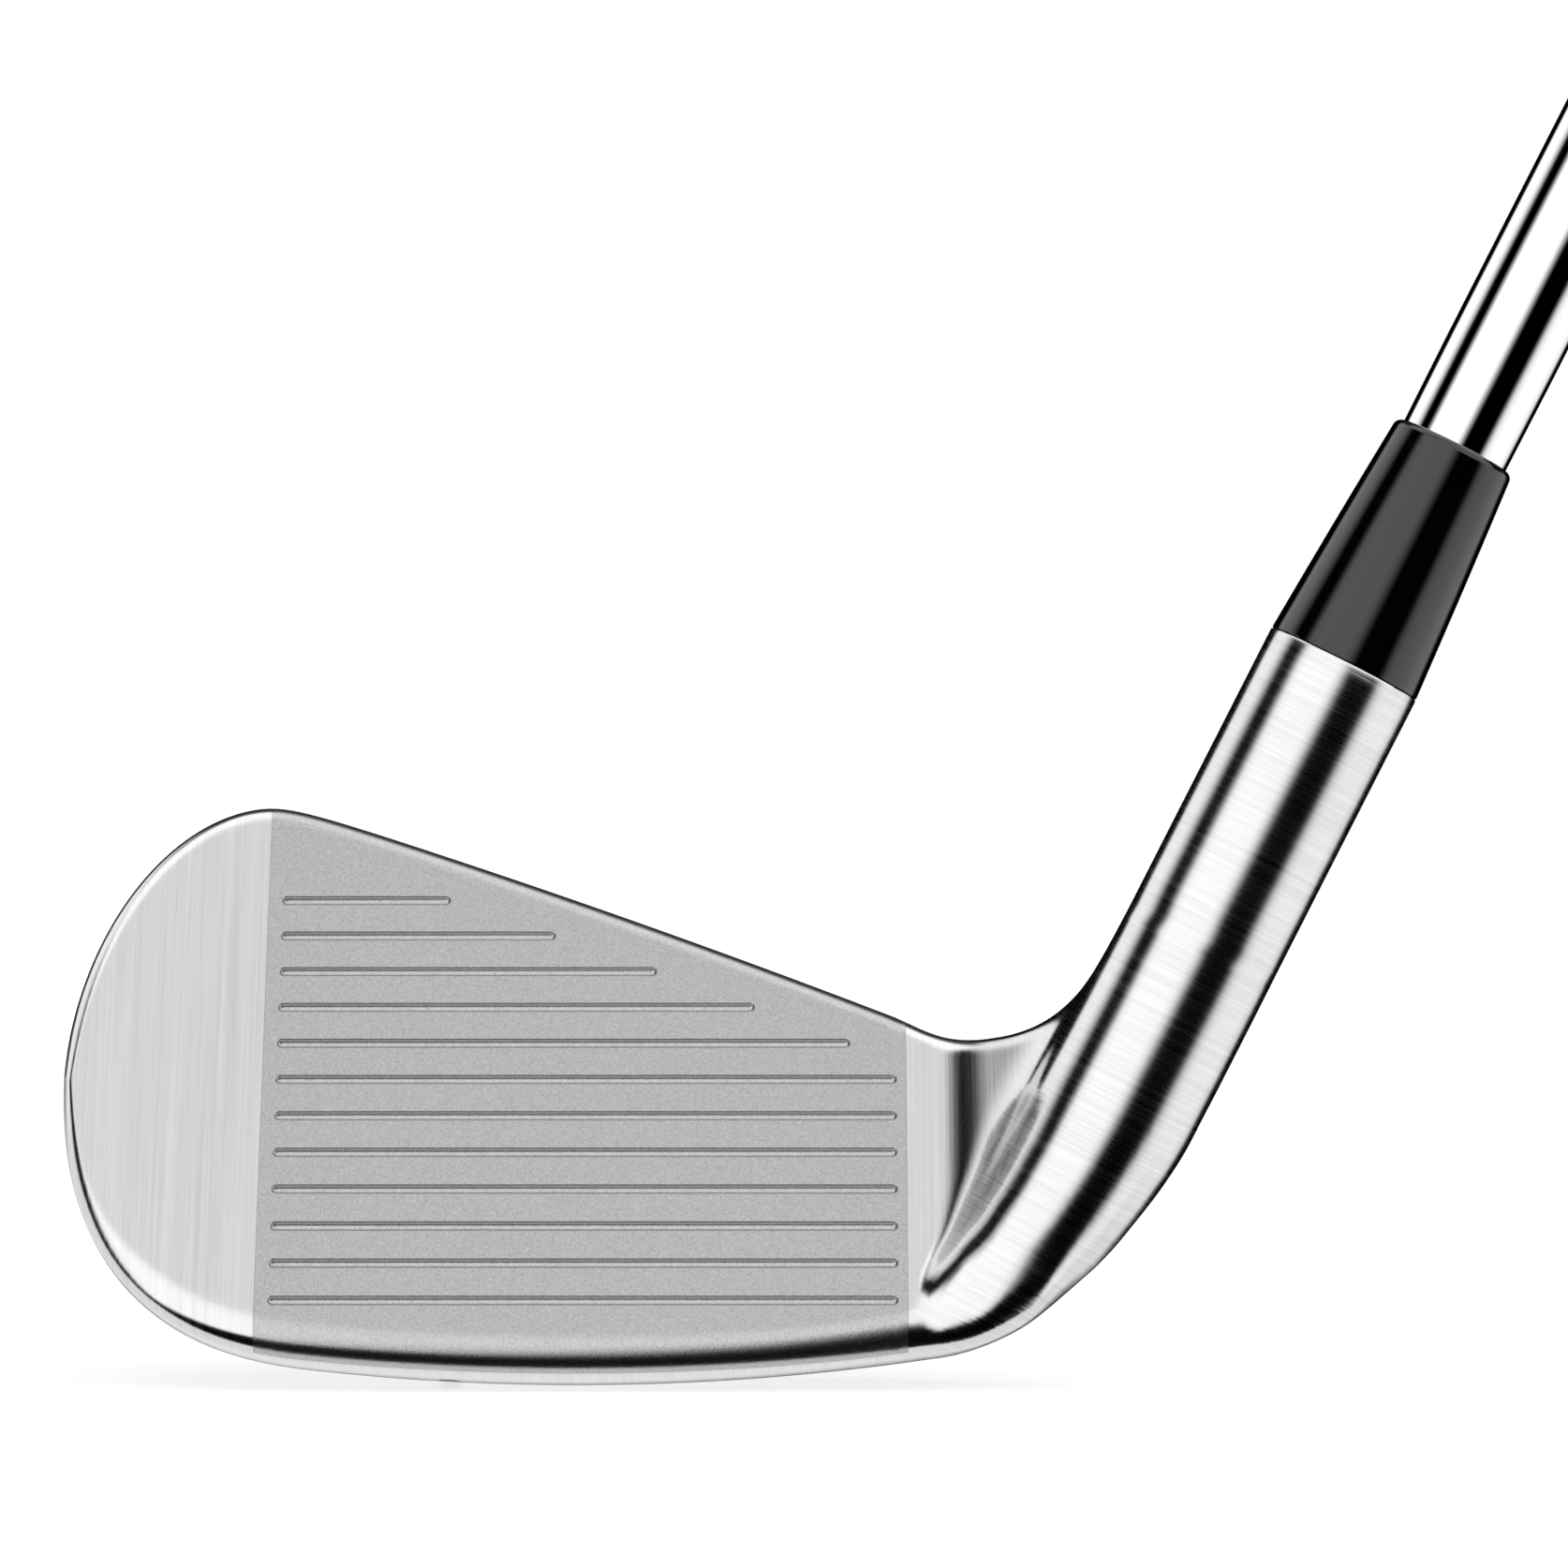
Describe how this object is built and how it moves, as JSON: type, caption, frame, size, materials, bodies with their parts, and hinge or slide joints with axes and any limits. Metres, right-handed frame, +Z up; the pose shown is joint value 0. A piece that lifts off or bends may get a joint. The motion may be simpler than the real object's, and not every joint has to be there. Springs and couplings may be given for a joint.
{
  "type": "iron golf club",
  "caption": "Right-handed mid-iron golf club with a compact steel blade, scored face insert, black ferrule, stepped chrome shaft and tapered rubber grip.",
  "frame": {"origin": "lowest point of the sole, where the club touches the ground at address", "axes": "+Z up, +Y away from the target (the face looks to -Y and up), +X from the toe towards the grip side"},
  "size_m": [0.5161, 0.0417, 0.8429],
  "materials": {
    "satin_steel": "satin brushed, fine straight grain",
    "blasted_steel": "fine bead-blasted matte with milled scorelines",
    "tungsten": "as sintered",
    "damper": "soft matte polymer",
    "mounting_tape": "closed-cell foam tape",
    "badge_plate": "fine-blasted and anodised, plain geometric relief",
    "mark_paint": "black paint fill",
    "epoxy": "cured adhesive",
    "ferrule_plastic": "polished black",
    "tip_brass": "turned",
    "cork": "raw",
    "chrome_shaft": "mirror chrome plate",
    "band_film": "printed film, plain stripes",
    "tape_paper": "double-sided grip tape",
    "grip_rubber": "matte moulded, sunk diamond pattern",
    "cap_rubber": "harder moulded rubber"
  },
  "bodies": {
    "root": {"head_body": "satin_steel", "face_plate": "blasted_steel", "toe_weight": "tungsten", "damper_core": "damper", "badge_tape": "mounting_tape", "badge": "badge_plate", "sole_mark_fill": "mark_paint", "hosel_epoxy": "epoxy", "ferrule": "ferrule_plastic", "tip_weight": "tip_brass", "tip_cork": "cork", "shaft": "chrome_shaft", "shaft_band": "band_film", "grip_tape": "tape_paper", "grip": "grip_rubber", "grip_cap": "cap_rubber"}
  },
  "joints": []
}
